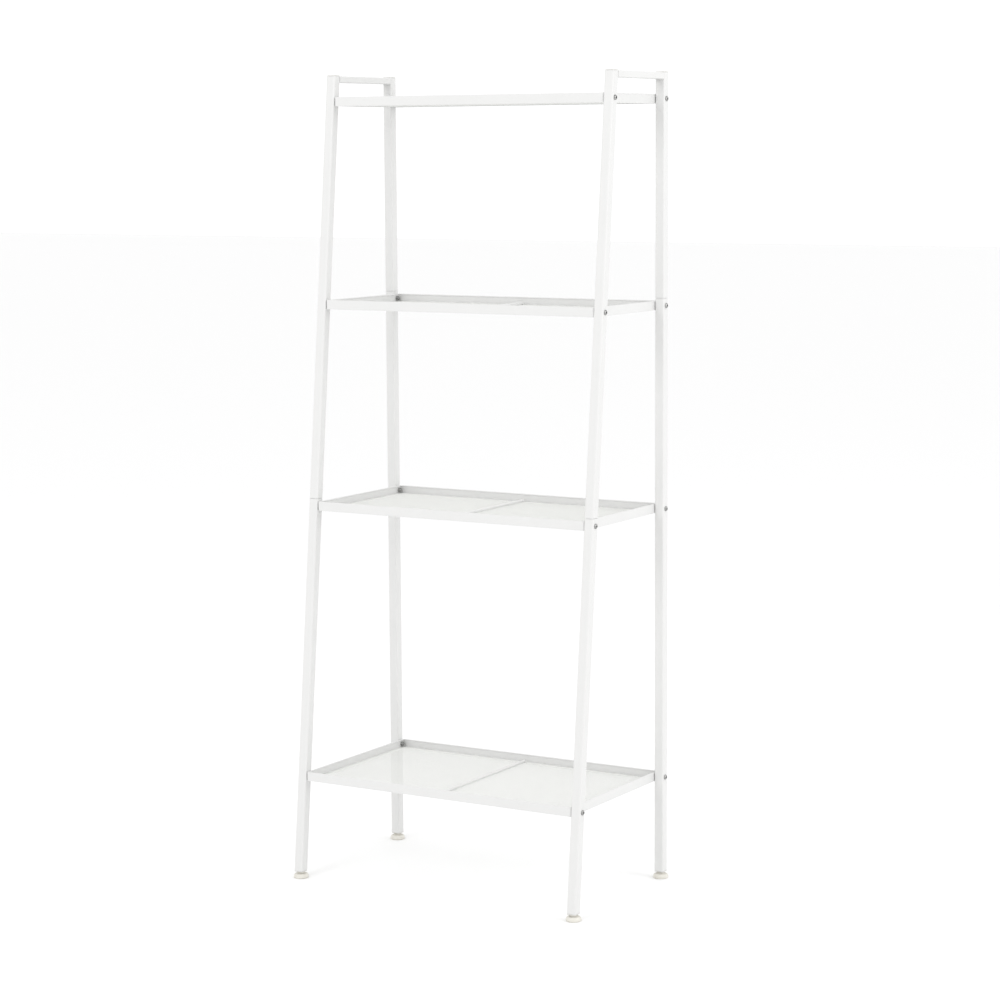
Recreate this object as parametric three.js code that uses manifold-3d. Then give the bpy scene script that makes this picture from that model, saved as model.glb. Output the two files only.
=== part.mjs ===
// A four-shelf ladder rack in powder-coated steel.  Millimetres, +Z up, front towards -Y.
// Two side frames of square tube stand on levelling feet.  In each, the rear leg is upright, the front
// leg leans back, and a flat rail joins them at the top as a handle.  Four mesh trays of falling depth
// sit between the frames and are bolted through the legs.
import * as THREE from "three";
import { mergeVertices } from "three/addons/utils/BufferGeometryUtils.js";
import Module from "manifold-3d";

const wasm = await Module();
wasm.setup();

// ---------------------------------------------------------------- driving dimensions
const WIDTH = 600; // over the outer faces of the legs
const DEPTH_FLOOR = 350; // over the leg faces, where they would meet the floor
const DEPTH_TOP = 206; // over the leg faces at the very top
const BOTTOM_SHELF = 200; // floor to the rim top of the lowest tray
const BAYS = [500, 370, 370]; // rim top to rim top, from the lowest tray upwards
const HANDLE_RISE = 40; // rim top of the highest tray to the top of the rack

const TUBE = 18; // square leg tube
const TUBE_WALL = 1.5;
const TUBE_CORNER = 2.4; // outer corner radius
const FIT = 0.3; // gap left between pieces that touch

const RAIL_HEIGHT = 12; // top rail, as wide as the leg tube
const RAIL_WALL = 1.2;
const RAIL_CORNER = 1.6;

const SEAM_ABOVE_RIM = 5; // where a leg is parted, above the rim of the tray that its bolt also holds
const SEAM_GAP = 0.5;
const SPIGOT_UP = 45; // how far the joining piece reaches into the upper tube
const SPIGOT_DOWN = 60; // and into the lower one
const SPIGOT_WALL = 1.2;
const SPIGOT_CORNER = 0.9;

const RIM_HEIGHT = 17; // tray rim, a flat steel strip bent into a ring
const RIM_WALL = 1.5;
const RIM_CORNER = 3.4; // outer corner radius in plan, less where a nut needs the room
const RIM_SIDE_GAP = 0.6; // between a leg and the rim
const RIM_SETBACK = 0.5; // rim face behind the leg face, front and rear
const BORDER_WIDTH = 11; // flat strip under the edge of the mesh
const BORDER_THICKNESS = 1.5;
const MESH_THICKNESS = 1.2; // two layers of wire
const CROSSBAR_DIAMETER = 5;
const CROSSBAR_END_GAP = 7; // from the end of the crossbar to the rim

const BOLT_SHANK = 5; // M5 button-head bolt
const BOLT_HEAD = 9.5;
const BOLT_HEAD_HEIGHT = 2.75;
const BOLT_SOCKET = 3; // across flats
const BOLT_SOCKET_DEPTH = 1.6;
const BOLT_CLEARANCE = 0.4; // all round the shank
const BOLT_PROUD = 1.5; // shank past the nut
const NUT_FLATS = 8;
const NUT_HEIGHT = 4;
const NUT_ABOVE_MESH = 1.2; // from the mesh up to the lowest corner of a nut

const CAP_HEAD = 1.5; // plastic cap on the top of a leg
const CAP_SKIRT = 9;
const CAP_WALL = 1.4;
const CAP_FIT = 0.35;

const INSERT_FLANGE = 1.2; // threaded plastic plug in the foot of a leg
const INSERT_LENGTH = 24;
const STUD_DIAMETER = 8; // M8 stud with a hexagon collar, bedded in a domed plastic pad
const STUD_REACH = 24; // up from the top of the collar
const STUD_CLEARANCE = 0.35;
const STUD_BEDDED = 5; // down into the pad
const COLLAR_FLATS = 13;
const COLLAR_HEIGHT = 2.5;
const PAD_DIAMETER = 28;
const PAD_HEIGHT = 8.5;
const PAD_EDGE = 2.2; // height of the pad's widest line
const PAD_FOOT = 1.2; // the underside is this much smaller all round
const PAD_CROWN = 16; // flat on top of the pad
const FOOT_TRAVEL_UP = 1.3; // room between the collar and the plug as it stands

// ---------------------------------------------------------------- how finely curves are cut
const CORNER_STEPS = 2;
const BORE_CORNER_STEPS = 1;
const ROUND_STEPS = 20;
const HOLE_STEPS = 12;
const HEX = 6;
const DOME_STEPS = 3;

// ---------------------------------------------------------------- what follows from the dimensions
const SHELF_TOPS = BAYS.reduce((tops, bay) => [...tops, tops.at(-1) + bay], [BOTTOM_SHELF]).reverse();
const HEIGHT = SHELF_TOPS[0] + HANDLE_RISE;
const LEAN = (DEPTH_FLOOR - DEPTH_TOP) / HEIGHT; // tangent of the front legs' lean
const LEAN_STRETCH = Math.hypot(1, LEAN); // a level cut through a leaning tube is this much deeper

const INSERT_BOTTOM = PAD_HEIGHT + COLLAR_HEIGHT + FOOT_TRAVEL_UP;
const TUBE_BOTTOM = INSERT_BOTTOM + INSERT_FLANGE + FIT;
const TUBE_TOP = HEIGHT - CAP_HEAD - FIT;

const FOOT_SPREAD = DEPTH_FLOOR - TUBE / 2 - (TUBE * LEAN_STRETCH) / 2 - TUBE_BOTTOM * LEAN;
const REAR_AXIS = FOOT_SPREAD / 2; // the rear legs' axis
const FRONT_FOOT = -FOOT_SPREAD / 2; // the front legs' axis where the tube ends
const LEG_X = WIDTH / 2 - TUBE / 2;
const FRONT_SEAM = SHELF_TOPS[2] + SEAM_ABOVE_RIM;
const REAR_SEAM = SHELF_TOPS[1] + SEAM_ABOVE_RIM;
const STUD_LEVEL = TUBE_BOTTOM + INSERT_LENGTH / 2; // where an upright stud crosses its leg's axis
const HOLE_RADIUS = BOLT_SHANK / 2 + BOLT_CLEARANCE;
const NUT_CORNER = NUT_FLATS / Math.sqrt(3); // from a nut's axis to its corners
const TRAY_HALF_WIDTH = WIDTH / 2 - TUBE - RIM_SIDE_GAP;
const MESH_TOP = -RIM_HEIGHT + BORDER_THICKNESS + MESH_THICKNESS; // from the rim's top plane
const BOLT_LEVEL = MESH_TOP + NUT_ABOVE_MESH + NUT_CORNER; // from the rim's top plane
// The room in front of a front nut.  It sits below the rim's top, where the leaning leg is further forward.
const NUT_ROOM = TUBE / 2 + BOLT_LEVEL * LEAN - NUT_FLATS / 2 - RIM_SETBACK;
const TRAY_CORNER = Math.min(RIM_CORNER, NUT_ROOM);

// The y of the front legs' axis at height z.
function frontAxis(z) {
  return FRONT_FOOT + (z - TUBE_BOTTOM) * LEAN;
}

// Height of the bolts that hold the tray whose rim top is at `top`.
function boltHeight(top) {
  return top + BOLT_LEVEL;
}

// ---------------------------------------------------------------- finishes
const powderCoat = { color: 0xf1f1ee, roughness: 0.45, metalness: 0 };
const meshCoat = { color: 0xecece8, roughness: 0.5, metalness: 0 };
const zinc = { color: 0x9a9ca0, roughness: 0.3, metalness: 1 };
const whitePlastic = { color: 0xf4f4f2, roughness: 0.55, metalness: 0 };

// ---------------------------------------------------------------- solids and booleans

// A closed geometry as a manifold-3d solid.
function solid(geometry) {
  const bare = geometry.clone();
  bare.deleteAttribute("normal");
  bare.deleteAttribute("uv");
  const merged = mergeVertices(bare, 1e-4);
  return new wasm.Manifold(
    new wasm.Mesh({
      numProp: 3,
      vertProperties: new Float32Array(merged.attributes.position.array),
      triVerts: new Uint32Array(merged.index.array),
    }),
  );
}

// A manifold-3d solid as a geometry.
function geometryOf(body) {
  const { vertProperties, triVerts } = body.getMesh();
  const geometry = new THREE.BufferGeometry();
  geometry.setAttribute("position", new THREE.BufferAttribute(new Float32Array(vertProperties), 3));
  geometry.setIndex(new THREE.BufferAttribute(new Uint32Array(triVerts), 1));
  geometry.computeVertexNormals();
  return geometry;
}

// The first body with all the others taken out of it.
function cut(body, tools) {
  return tools.reduce((left, tool) => left.subtract(tool), body);
}

// A rectangle centred on the origin, with rounded corners.
function roundedRectangle(width, depth, radius, Kind = THREE.Shape) {
  const x = width / 2 - radius;
  const y = depth / 2 - radius;
  const outline = new Kind();
  outline.moveTo(x + radius, -y);
  outline.lineTo(x + radius, y);
  outline.absarc(x, y, radius, 0, Math.PI / 2, false);
  outline.lineTo(-x, y + radius);
  outline.absarc(-x, y, radius, Math.PI / 2, Math.PI, false);
  outline.lineTo(-x - radius, -y);
  outline.absarc(-x, -y, radius, Math.PI, Math.PI * 1.5, false);
  outline.lineTo(x, -y - radius);
  outline.absarc(x, -y, radius, Math.PI * 1.5, Math.PI * 2, false);
  return outline;
}

// An upright prism from z0 to z1.
function prism(outline, z0, z1, steps = CORNER_STEPS) {
  const geometry = new THREE.ExtrudeGeometry(outline, {
    depth: z1 - z0,
    bevelEnabled: false,
    curveSegments: steps,
  });
  return geometry.translate(0, 0, z0);
}

// An upright prism of rounded square section, leaning back by `lean` for each unit of height.
// Its axis is at y = 0 where z = 0, and its ends are level.
function post(size, radius, z0, z1, lean, steps = CORNER_STEPS) {
  const stretch = Math.hypot(1, lean);
  const geometry = prism(roundedRectangle(size, size, radius), z0, z1, steps);
  geometry.scale(1, stretch, 1);
  const shear = new THREE.Matrix4().set(1, 0, 0, 0, 0, 1, lean, 0, 0, 0, 1, 0, 0, 0, 0, 1);
  return solid(geometry.applyMatrix4(shear));
}

// A round bar along X through (y, z).
function barAlongX(radius, x0, x1, y, z, steps = HOLE_STEPS) {
  const geometry = new THREE.CylinderGeometry(radius, radius, x1 - x0, steps);
  geometry.rotateZ(Math.PI / 2);
  return solid(geometry.translate((x0 + x1) / 2, y, z));
}

// A body of revolution about Z from (radius, z) pairs that run up from the axis and back to it.
function turned(pairs, steps = ROUND_STEPS) {
  const points = pairs.map(([r, z]) => new THREE.Vector2(r, z));
  return solid(new THREE.LatheGeometry(points, steps).rotateX(Math.PI / 2));
}

// ---------------------------------------------------------------- the scene graph
const rack = new THREE.Group();
rack.name = "ladder_shelf";

function addMesh(group, name, body, finish) {
  const mesh = new THREE.Mesh(geometryOf(body), new THREE.MeshStandardMaterial(finish));
  mesh.name = name;
  group.add(mesh);
  return mesh;
}

// ---------------------------------------------------------------- side frames

// The room inside a tube or a skirt, run a little past z0 and z1 to cut through its ends.
function bore(size, radius, z0, z1, lean) {
  return post(size, radius, z0, z1, lean, BORE_CORNER_STEPS);
}

// A length of leg tube, open at both ends and drilled through for the bolts at the given heights.
function legTube(z0, z1, lean, boltHeights) {
  const size = TUBE - 2 * TUBE_WALL;
  const outside = post(TUBE, TUBE_CORNER, z0, z1, lean);
  const inside = bore(size, TUBE_CORNER - TUBE_WALL, z0 - TUBE_WALL, z1 + TUBE_WALL, lean);
  const holes = boltHeights.map((z) => barAlongX(HOLE_RADIUS, -TUBE, TUBE, z * lean, z));
  return cut(outside, [inside, ...holes]);
}

// The smaller tube that joins two lengths of leg inside their seam.
function spigot(seam, lean, bolt) {
  const size = TUBE - 2 * TUBE_WALL - 2 * FIT;
  const z0 = seam - SPIGOT_DOWN;
  const z1 = seam + SPIGOT_UP;
  const outside = bore(size, SPIGOT_CORNER, z0, z1, lean);
  const room = size - 2 * SPIGOT_WALL;
  const inside = bore(room, SPIGOT_CORNER / 2, z0 - SPIGOT_WALL, z1 + SPIGOT_WALL, lean);
  const hole = barAlongX(HOLE_RADIUS, -TUBE, TUBE, bolt * lean, bolt);
  return cut(outside, [inside, hole]);
}

// A cap that closes the top of a leg: a flush head, and a hollow skirt inside the tube.
function topCap(lean) {
  const skirt = TUBE - 2 * TUBE_WALL - 2 * CAP_FIT;
  const head = post(TUBE, TUBE_CORNER, HEIGHT - CAP_HEAD, HEIGHT, lean);
  const underside = HEIGHT - CAP_HEAD;
  const plug = bore(skirt, SPIGOT_CORNER, underside - CAP_SKIRT, HEIGHT - CAP_HEAD / 2, lean);
  const room = skirt - 2 * CAP_WALL;
  const hollow = bore(room, SPIGOT_CORNER / 2, underside - 2 * CAP_SKIRT, underside, lean);
  return cut(head.add(plug), [hollow]);
}

// The plug in the foot of a leg, with an upright bore for the stud.
function footInsert(lean) {
  const size = TUBE - 2 * TUBE_WALL - 2 * CAP_FIT;
  const z1 = TUBE_BOTTOM + INSERT_LENGTH;
  const thread = STUD_DIAMETER / 2 + STUD_CLEARANCE;
  const flange = post(TUBE, TUBE_CORNER, INSERT_BOTTOM, INSERT_BOTTOM + INSERT_FLANGE, lean);
  const plug = bore(size, SPIGOT_CORNER, INSERT_BOTTOM + INSERT_FLANGE / 2, z1, lean);
  const drill = new THREE.CylinderGeometry(thread, thread, 2 * z1, HOLE_STEPS);
  drill.rotateX(Math.PI / 2).translate(0, STUD_LEVEL * lean, z1 / 2);
  return cut(flange.add(plug), [solid(drill)]);
}

// The rail that joins the tops of two legs, fitted between them.  Its front end is cut to the lean.
function topRail() {
  const top = TUBE_TOP;
  const bottom = top - RAIL_HEIGHT;
  const rear = REAR_AXIS - TUBE / 2 - FIT;
  const reach = rear - frontAxis(bottom) + TUBE;
  const bar = (inset, past, steps) => {
    const outline = roundedRectangle(TUBE - 2 * inset, RAIL_HEIGHT - 2 * inset, RAIL_CORNER - inset);
    const geometry = prism(outline, -past, reach + past, steps).rotateX(Math.PI / 2);
    return solid(geometry.translate(0, rear, (top + bottom) / 2));
  };
  const outside = bar(0, 0, CORNER_STEPS);
  const inside = bar(RAIL_WALL, RAIL_WALL, BORE_CORNER_STEPS);
  const toFace = (TUBE * LEAN_STRETCH) / 2 + FIT;
  const block = 3 * TUBE; // large enough to take off all that stands past the cut
  const front = new THREE.BoxGeometry(block, block, block);
  front.translate(0, toFace - block / 2, 0);
  front.applyMatrix4(new THREE.Matrix4().set(1, 0, 0, 0, 0, 1, LEAN, 0, 0, 0, 1, 0, 0, 0, 0, 1));
  front.translate(0, frontAxis(top), top);
  return cut(outside, [inside, solid(front)]);
}

// One side frame, placed at the middle of its legs.
function sideFrame(side, x) {
  const frame = new THREE.Group();
  frame.position.x = x;
  const front = new THREE.Group();
  front.position.y = frontAxis(0);
  const rear = new THREE.Group();
  rear.position.y = REAR_AXIS;
  frame.add(front, rear);
  const [bolt1, bolt2, bolt3, bolt4] = SHELF_TOPS.map(boltHeight);
  const half = SEAM_GAP / 2;
  const upperFront = legTube(FRONT_SEAM + half, TUBE_TOP, LEAN, [bolt1, bolt2]);
  addMesh(front, `upper_front_tube_${side}`, upperFront, powderCoat);
  const lowerFront = legTube(TUBE_BOTTOM, FRONT_SEAM - half, LEAN, [bolt3, bolt4]);
  addMesh(front, `lower_front_leg_${side}`, lowerFront, powderCoat);
  addMesh(front, `front_spigot_${side}`, spigot(FRONT_SEAM, LEAN, bolt3), powderCoat);
  addMesh(front, `front_top_cap_${side}`, topCap(LEAN), whitePlastic);
  addMesh(front, `front_foot_insert_${side}`, footInsert(LEAN), whitePlastic);
  const upperRear = legTube(REAR_SEAM + half, TUBE_TOP, 0, [bolt1]);
  addMesh(rear, `upper_rear_tube_${side}`, upperRear, powderCoat);
  const lowerRear = legTube(TUBE_BOTTOM, REAR_SEAM - half, 0, [bolt2, bolt3, bolt4]);
  addMesh(rear, `lower_rear_leg_${side}`, lowerRear, powderCoat);
  addMesh(rear, `rear_spigot_${side}`, spigot(REAR_SEAM, 0, bolt2), powderCoat);
  addMesh(rear, `rear_top_cap_${side}`, topCap(0), whitePlastic);
  addMesh(rear, `rear_foot_insert_${side}`, footInsert(0), whitePlastic);
  addMesh(frame, `top_rail_${side}`, topRail(), powderCoat);
  return frame;
}

// ---------------------------------------------------------------- levelling feet

// A domed pad, drilled from above for the stud.
function footPad() {
  const edge = PAD_DIAMETER / 2;
  const crown = PAD_CROWN / 2;
  const drill = STUD_DIAMETER / 2 + STUD_CLEARANCE;
  const floor = PAD_HEIGHT - STUD_BEDDED;
  const dome = Array.from({ length: DOME_STEPS + 1 }, (_, i) => {
    const turn = (i / DOME_STEPS) * (Math.PI / 2);
    const r = crown + (edge - crown) * Math.cos(turn);
    return [r, PAD_EDGE + (PAD_HEIGHT - PAD_EDGE) * Math.sin(turn)];
  });
  return turned([[0, 0], [edge - PAD_FOOT, 0], ...dome, [drill, PAD_HEIGHT], [drill, floor], [0, floor]]);
}

// The threaded stud that screws into the plug of the leg, with the hexagon collar that turns it.
function footStud() {
  const radius = STUD_DIAMETER / 2;
  const bottom = PAD_HEIGHT - STUD_BEDDED + FIT;
  const collarTop = PAD_HEIGHT + COLLAR_HEIGHT;
  const top = collarTop + STUD_REACH;
  const tip = radius / 4;
  const profile = [[0, bottom], [radius, bottom], [radius, top - tip], [radius - tip, top], [0, top]];
  const rod = turned(profile, HOLE_STEPS);
  const corner = COLLAR_FLATS / Math.sqrt(3);
  const height = COLLAR_HEIGHT - FIT;
  const collar = new THREE.CylinderGeometry(corner, corner, height, HEX);
  collar.rotateX(Math.PI / 2).translate(0, 0, collarTop - height / 2);
  return rod.add(solid(collar));
}

function foot(name, x, y) {
  const group = new THREE.Group();
  group.position.set(x, y, 0);
  addMesh(group, `foot_pad_${name}`, footPad(), whitePlastic);
  addMesh(group, `foot_stud_${name}`, footStud(), zinc);
  return group;
}

// ---------------------------------------------------------------- trays

// The tray's rim, in a frame whose origin is the middle of the rim's top plane.
function trayRim(width, depth, boltPlaces) {
  const inner = [width - 2 * RIM_WALL, depth - 2 * RIM_WALL, TRAY_CORNER - RIM_WALL];
  const wall = roundedRectangle(width, depth, TRAY_CORNER);
  wall.holes.push(roundedRectangle(...inner, THREE.Path));
  const ring = solid(prism(wall, -RIM_HEIGHT, 0));
  const holes = boltPlaces.map((y) => barAlongX(HOLE_RADIUS, -width, width, y, BOLT_LEVEL));
  return cut(ring, holes);
}

// The tray's bottom, fitted inside the rim: a flat border strip with the mesh on top of it.  The mesh is
// a plate of the same outline and thickness as its wires.
function trayMesh(width, depth) {
  const clear = 2 * RIM_WALL + 2 * FIT;
  const outline = [width - clear, depth - clear, TRAY_CORNER - RIM_WALL];
  const open = [outline[0] - 2 * BORDER_WIDTH, outline[1] - 2 * BORDER_WIDTH, TRAY_CORNER - RIM_WALL];
  const strip = roundedRectangle(...outline);
  strip.holes.push(roundedRectangle(...open, THREE.Path));
  const border = solid(prism(strip, -RIM_HEIGHT, -RIM_HEIGHT + BORDER_THICKNESS));
  const panel = prism(roundedRectangle(...outline), -RIM_HEIGHT + BORDER_THICKNESS, MESH_TOP);
  return border.add(solid(panel));
}

// The stiffening bar across the middle of the mesh, front to back.
function crossbar(depth) {
  const length = depth - 2 * RIM_WALL - 2 * CROSSBAR_END_GAP;
  const radius = CROSSBAR_DIAMETER / 2;
  const bar = new THREE.CylinderGeometry(radius, radius, length, HOLE_STEPS);
  return solid(bar.translate(0, 0, MESH_TOP + FIT + radius));
}

function tray(number, top) {
  const frontFace = frontAxis(top) - (TUBE * LEAN_STRETCH) / 2 + RIM_SETBACK;
  const rearFace = REAR_AXIS + TUBE / 2 - RIM_SETBACK;
  const width = 2 * TRAY_HALF_WIDTH;
  const depth = rearFace - frontFace;
  const middle = (rearFace + frontFace) / 2;
  const group = new THREE.Group();
  group.position.set(0, middle, top);
  const places = [frontAxis(boltHeight(top)) - middle, REAR_AXIS - middle];
  addMesh(group, `shelf_${number}_rim`, trayRim(width, depth, places), powderCoat);
  addMesh(group, `shelf_${number}_mesh`, trayMesh(width, depth), meshCoat);
  addMesh(group, `shelf_${number}_crossbar`, crossbar(depth), powderCoat);
  return group;
}

// ---------------------------------------------------------------- bolts

// A button-head bolt with its nut run on, along Z: the underside of the head is at z = 0.
// What it clamps is the leg, the gap beside it and the wall of the rim.
function boltWithNut() {
  const radius = BOLT_SHANK / 2;
  const grip = FIT + TUBE + RIM_SIDE_GAP + RIM_WALL + FIT;
  const end = -(grip + NUT_HEIGHT + BOLT_PROUD);
  const dome = Array.from({ length: DOME_STEPS + 1 }, (_, i) => {
    const turn = (i / DOME_STEPS) * (Math.PI / 2);
    return [(BOLT_HEAD / 2) * Math.cos(turn), BOLT_HEAD_HEIGHT * Math.sin(turn)];
  });
  dome[DOME_STEPS][0] = 0;
  const body = turned([[0, end], [radius, end], [radius, 0], ...dome], HOLE_STEPS);
  const flatsUpright = Math.PI / HEX;
  const nut = new THREE.CylinderGeometry(NUT_CORNER, NUT_CORNER, NUT_HEIGHT, HEX, 1, false, flatsUpright);
  nut.rotateX(Math.PI / 2).translate(0, 0, -grip - NUT_HEIGHT / 2);
  const key = BOLT_SOCKET / Math.sqrt(3);
  const socket = new THREE.CylinderGeometry(key, key, 2 * BOLT_SOCKET_DEPTH, HEX);
  socket.rotateX(Math.PI / 2).translate(0, 0, BOLT_HEAD_HEIGHT);
  return cut(body.add(solid(nut)), [solid(socket)]);
}

// The four bolts of a tray, heads outwards.
function trayBolts(number, top) {
  const group = new THREE.Group();
  const z = boltHeight(top);
  for (const [end, y] of [
    ["front", frontAxis(z)],
    ["rear", REAR_AXIS],
  ]) {
    for (const [side, way] of [
      ["left", -1],
      ["right", 1],
    ]) {
      const bolt = addMesh(group, `shelf_${number}_bolt_${end}_${side}`, boltWithNut(), zinc);
      bolt.position.set(way * (WIDTH / 2 + FIT), y, z);
      bolt.rotation.y = (way * Math.PI) / 2;
    }
  }
  return group;
}

// ---------------------------------------------------------------- assembly
for (const [side, way] of [
  ["left", -1],
  ["right", 1],
]) {
  rack.add(sideFrame(side, way * LEG_X));
  rack.add(foot(`front_${side}`, way * LEG_X, frontAxis(STUD_LEVEL)));
  rack.add(foot(`rear_${side}`, way * LEG_X, REAR_AXIS));
}
SHELF_TOPS.forEach((top, index) => {
  rack.add(tray(index + 1, top));
  rack.add(trayBolts(index + 1, top));
});

export default rack;
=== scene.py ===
# %% [markdown]
# # A ladder shelf in white powder-coated steel
#
# The rack is two side frames of square tube with four mesh trays bolted between them.  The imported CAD
# model gives the size and place of every piece, and this script makes the surfaces that are looked at:
# tubes with drawn corners, rims with a rolled hem, real wires, threads, welds and moulded feet.

# %% Load the frame
import math

import bpy
import numpy as np
from mathutils import Matrix, Vector


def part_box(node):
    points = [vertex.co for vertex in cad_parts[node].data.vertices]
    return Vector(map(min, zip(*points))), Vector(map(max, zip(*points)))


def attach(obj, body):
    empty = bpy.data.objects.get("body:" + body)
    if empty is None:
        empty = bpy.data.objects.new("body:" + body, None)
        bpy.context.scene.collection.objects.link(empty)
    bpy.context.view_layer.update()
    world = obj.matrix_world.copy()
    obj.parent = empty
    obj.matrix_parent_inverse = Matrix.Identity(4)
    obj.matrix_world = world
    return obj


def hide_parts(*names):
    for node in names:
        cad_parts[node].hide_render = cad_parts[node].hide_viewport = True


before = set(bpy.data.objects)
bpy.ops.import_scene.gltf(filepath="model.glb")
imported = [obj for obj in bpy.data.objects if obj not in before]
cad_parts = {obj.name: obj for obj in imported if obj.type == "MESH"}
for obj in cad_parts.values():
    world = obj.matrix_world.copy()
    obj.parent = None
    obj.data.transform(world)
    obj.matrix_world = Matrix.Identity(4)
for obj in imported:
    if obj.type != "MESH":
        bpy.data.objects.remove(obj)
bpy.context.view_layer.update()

MM = 0.001  # one millimetre, in the metres that the frame uses

# %% [markdown]
# ## Reading sizes off the frame
#
# Nothing here is placed by eye.  A node's box gives its ends, its width and its middle.  The front legs
# lean, so their line needs two points: the middles of the lower and the upper length lie on it, and the
# slope between them is the lean.  A level cut through a leaning tube is longer from front to back than
# the tube is thick, by the root of one plus the lean squared.

# %% Where the legs stand
SIDES = {"left": -1, "right": 1}
ENDS = ("front", "rear")
SHELVES = (1, 2, 3, 4)  # from the top down


def middle(node):
    low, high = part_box(node)
    return (low + high) / 2


def span(node):
    low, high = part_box(node)
    return high - low


LOWER, UPPER = middle("lower_front_leg_right"), middle("upper_front_tube_right")
LEAN = (UPPER.y - LOWER.y) / (UPPER.z - LOWER.z)
LEG_X = UPPER.x
TUBE = span("upper_rear_tube_right").x
REAR_Y = middle("lower_rear_leg_right").y
FRONT_Y0 = LOWER.y - LOWER.z * LEAN  # where the front legs' axis would meet the floor


def lean_of(end):
    return LEAN if end == "front" else 0.0


def leg_axis(end, z):
    """The y of a leg's axis at height z: a straight line for a front leg, one value for a rear leg."""
    return FRONT_Y0 + LEAN * z if end == "front" else REAR_Y + 0 * z


print(f"lean {math.degrees(math.atan(LEAN)):.2f} degrees, tube {TUBE / MM:.1f} mm")
print(f"legs at x {LEG_X / MM:.1f} mm")

# %% [markdown]
# ## From a grid of points to a closed skin
#
# Almost every piece here is a stack of rings: a tube is two rings at each end, a bolt is forty rings of
# changing radius, a bent wire is a ring carried along a path.  Blender could make them with curves and
# bevels, but a grid of points says exactly what the surface is.  A grid is closed in one of two ways.
# Either its first and last rings get a flat face, or the last ring joins the first, as round a pipe wall.
# The signed volume of the skin tells which way its faces point, so one test turns them all outwards.

# %% The grid becomes a mesh


def signed_volume(points, faces):
    """Sum over the faces' triangles of corner . (corner x corner) / 6: positive where they face outwards."""
    total = 0.0
    for face in faces:
        face = np.atleast_2d(face)
        for second in range(1, face.shape[1] - 1):
            a, b, c = points[face[:, 0]], points[face[:, second]], points[face[:, second + 1]]
            total += np.einsum("ij,ij->", a, np.cross(b, c)) / 6
    return total


def skin(name, rings, joined=False, crease=32, painted_shade=None):
    """A mesh object from rings of points, shaped (rings, points, 3) or (copies, rings, points, 3).

    Each point joins its neighbours in its ring and in the next ring, as a sheet of quads.  The last
    argument, from 0 to 1 for each ring, is painted shade: it becomes an attribute that the zinc darkens by.
    """
    rings = np.asarray(rings, float)
    if rings.ndim == 3:
        rings = rings[None]
    copies, along, around, _ = rings.shape
    index = np.arange(along * around).reshape(along, around)
    here, ahead = (index, np.roll(index, -1, 0)) if joined else (index[:-1], index[1:])
    quads = np.stack([here, np.roll(here, -1, 1), np.roll(ahead, -1, 1), ahead], -1).reshape(-1, 4)
    ends = np.empty((0, around), int) if joined else np.stack([index[0][::-1], index[-1]])
    centred = rings[0].reshape(-1, 3) - rings[0].mean((0, 1))
    if signed_volume(centred, [quads, ends] if len(ends) else [quads]) < 0:
        quads, ends = quads[:, ::-1], ends[:, ::-1]
    first = np.arange(copies)[:, None, None] * (along * around)
    faces = (quads + first).reshape(-1, 4).tolist() + (ends + first).reshape(-1, around).tolist()
    mesh = bpy.data.meshes.new(name)
    mesh.from_pydata(rings.reshape(-1, 3).tolist(), [], faces)
    mesh.shade_smooth()
    mesh.set_sharp_from_angle(angle=math.radians(crease))
    # painted shade for each ring, kept as an attribute on the points
    darkening = np.zeros(along) if painted_shade is None else np.asarray(painted_shade, float)
    layer = mesh.attributes.new("painted_shade", "FLOAT", "POINT")
    layer.data.foreach_set("value", np.tile(np.repeat(darkening, around), copies))
    piece = bpy.data.objects.new(name, mesh)
    bpy.context.scene.collection.objects.link(piece)
    return piece


# %% [markdown]
# ## Sections
#
# Square tube is rolled from round tube, so its corners are arcs.  One function makes every section on
# this rack: with the radius at half the width it is a circle, which lets a round bore and a square
# outside share one grid, point for point.

# %% Round-cornered sections
CORNER_STEPS = 6
HOLD = 0.4 * MM  # how far past a curve's end a flat face is held flat


def section(width, depth, radius, steps=CORNER_STEPS):
    """Rectangles with round corners: the corner's centre, plus the radius times (cos, sin) of the turn.

    One more point past each end of an arc, slid along the flat by (-sin, cos), keeps the shading of the
    flat face flat.  width, depth and radius may have one value for each ring; the result is
    (rings, points, 2).
    """
    width, depth, radius = np.broadcast_arrays(np.atleast_1d(width), depth, radius)
    arc = np.linspace(0, np.pi / 2, steps + 1)
    quarter = np.concatenate([arc[:1], arc, arc[-1:]])
    turn = (quarter + np.arange(4)[:, None] * np.pi / 2).ravel()
    slide = np.tile(np.concatenate([[-1], 0 * arc, [1]]), 4)
    held = np.minimum(HOLD, (np.minimum(width, depth) / 2 - radius) / 2)[:, None] * slide
    to_x = np.repeat([1, -1, -1, 1], steps + 3)
    to_y = np.repeat([1, 1, -1, -1], steps + 3)
    x = (width / 2 - radius)[:, None] * to_x + radius[:, None] * np.cos(turn) - held * np.sin(turn)
    y = (depth / 2 - radius)[:, None] * to_y + radius[:, None] * np.sin(turn) + held * np.cos(turn)
    return np.stack([x, y], -1)


def eased(inset, height, steps=3):
    """A quarter-round edge as (inset, height) pairs: it starts inset by the radius and ends at full size.

    The last pair stands a little further on, and holds the face beyond it flat.
    """
    turn = np.linspace(0, np.pi / 2, steps + 1)
    return np.append(inset * (1 - np.sin(turn)), 0), np.append(height * (1 - np.cos(turn)), height + HOLD)


print("points round a section:", section(1, 1, 0.1).shape[1])

# %% [markdown]
# ## Shader sums as Python expressions
#
# A procedural finish is arithmetic on a few noise patterns.  Wiring Math nodes by hand hides that, so
# one small class stands for a node's output and its operators add the nodes.  `1 - dust * 0.2` reads as
# what it is.  Any other node comes from the `node` method: its type, its settings, its sockets.

# %% One output of a node, with sums on it


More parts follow.
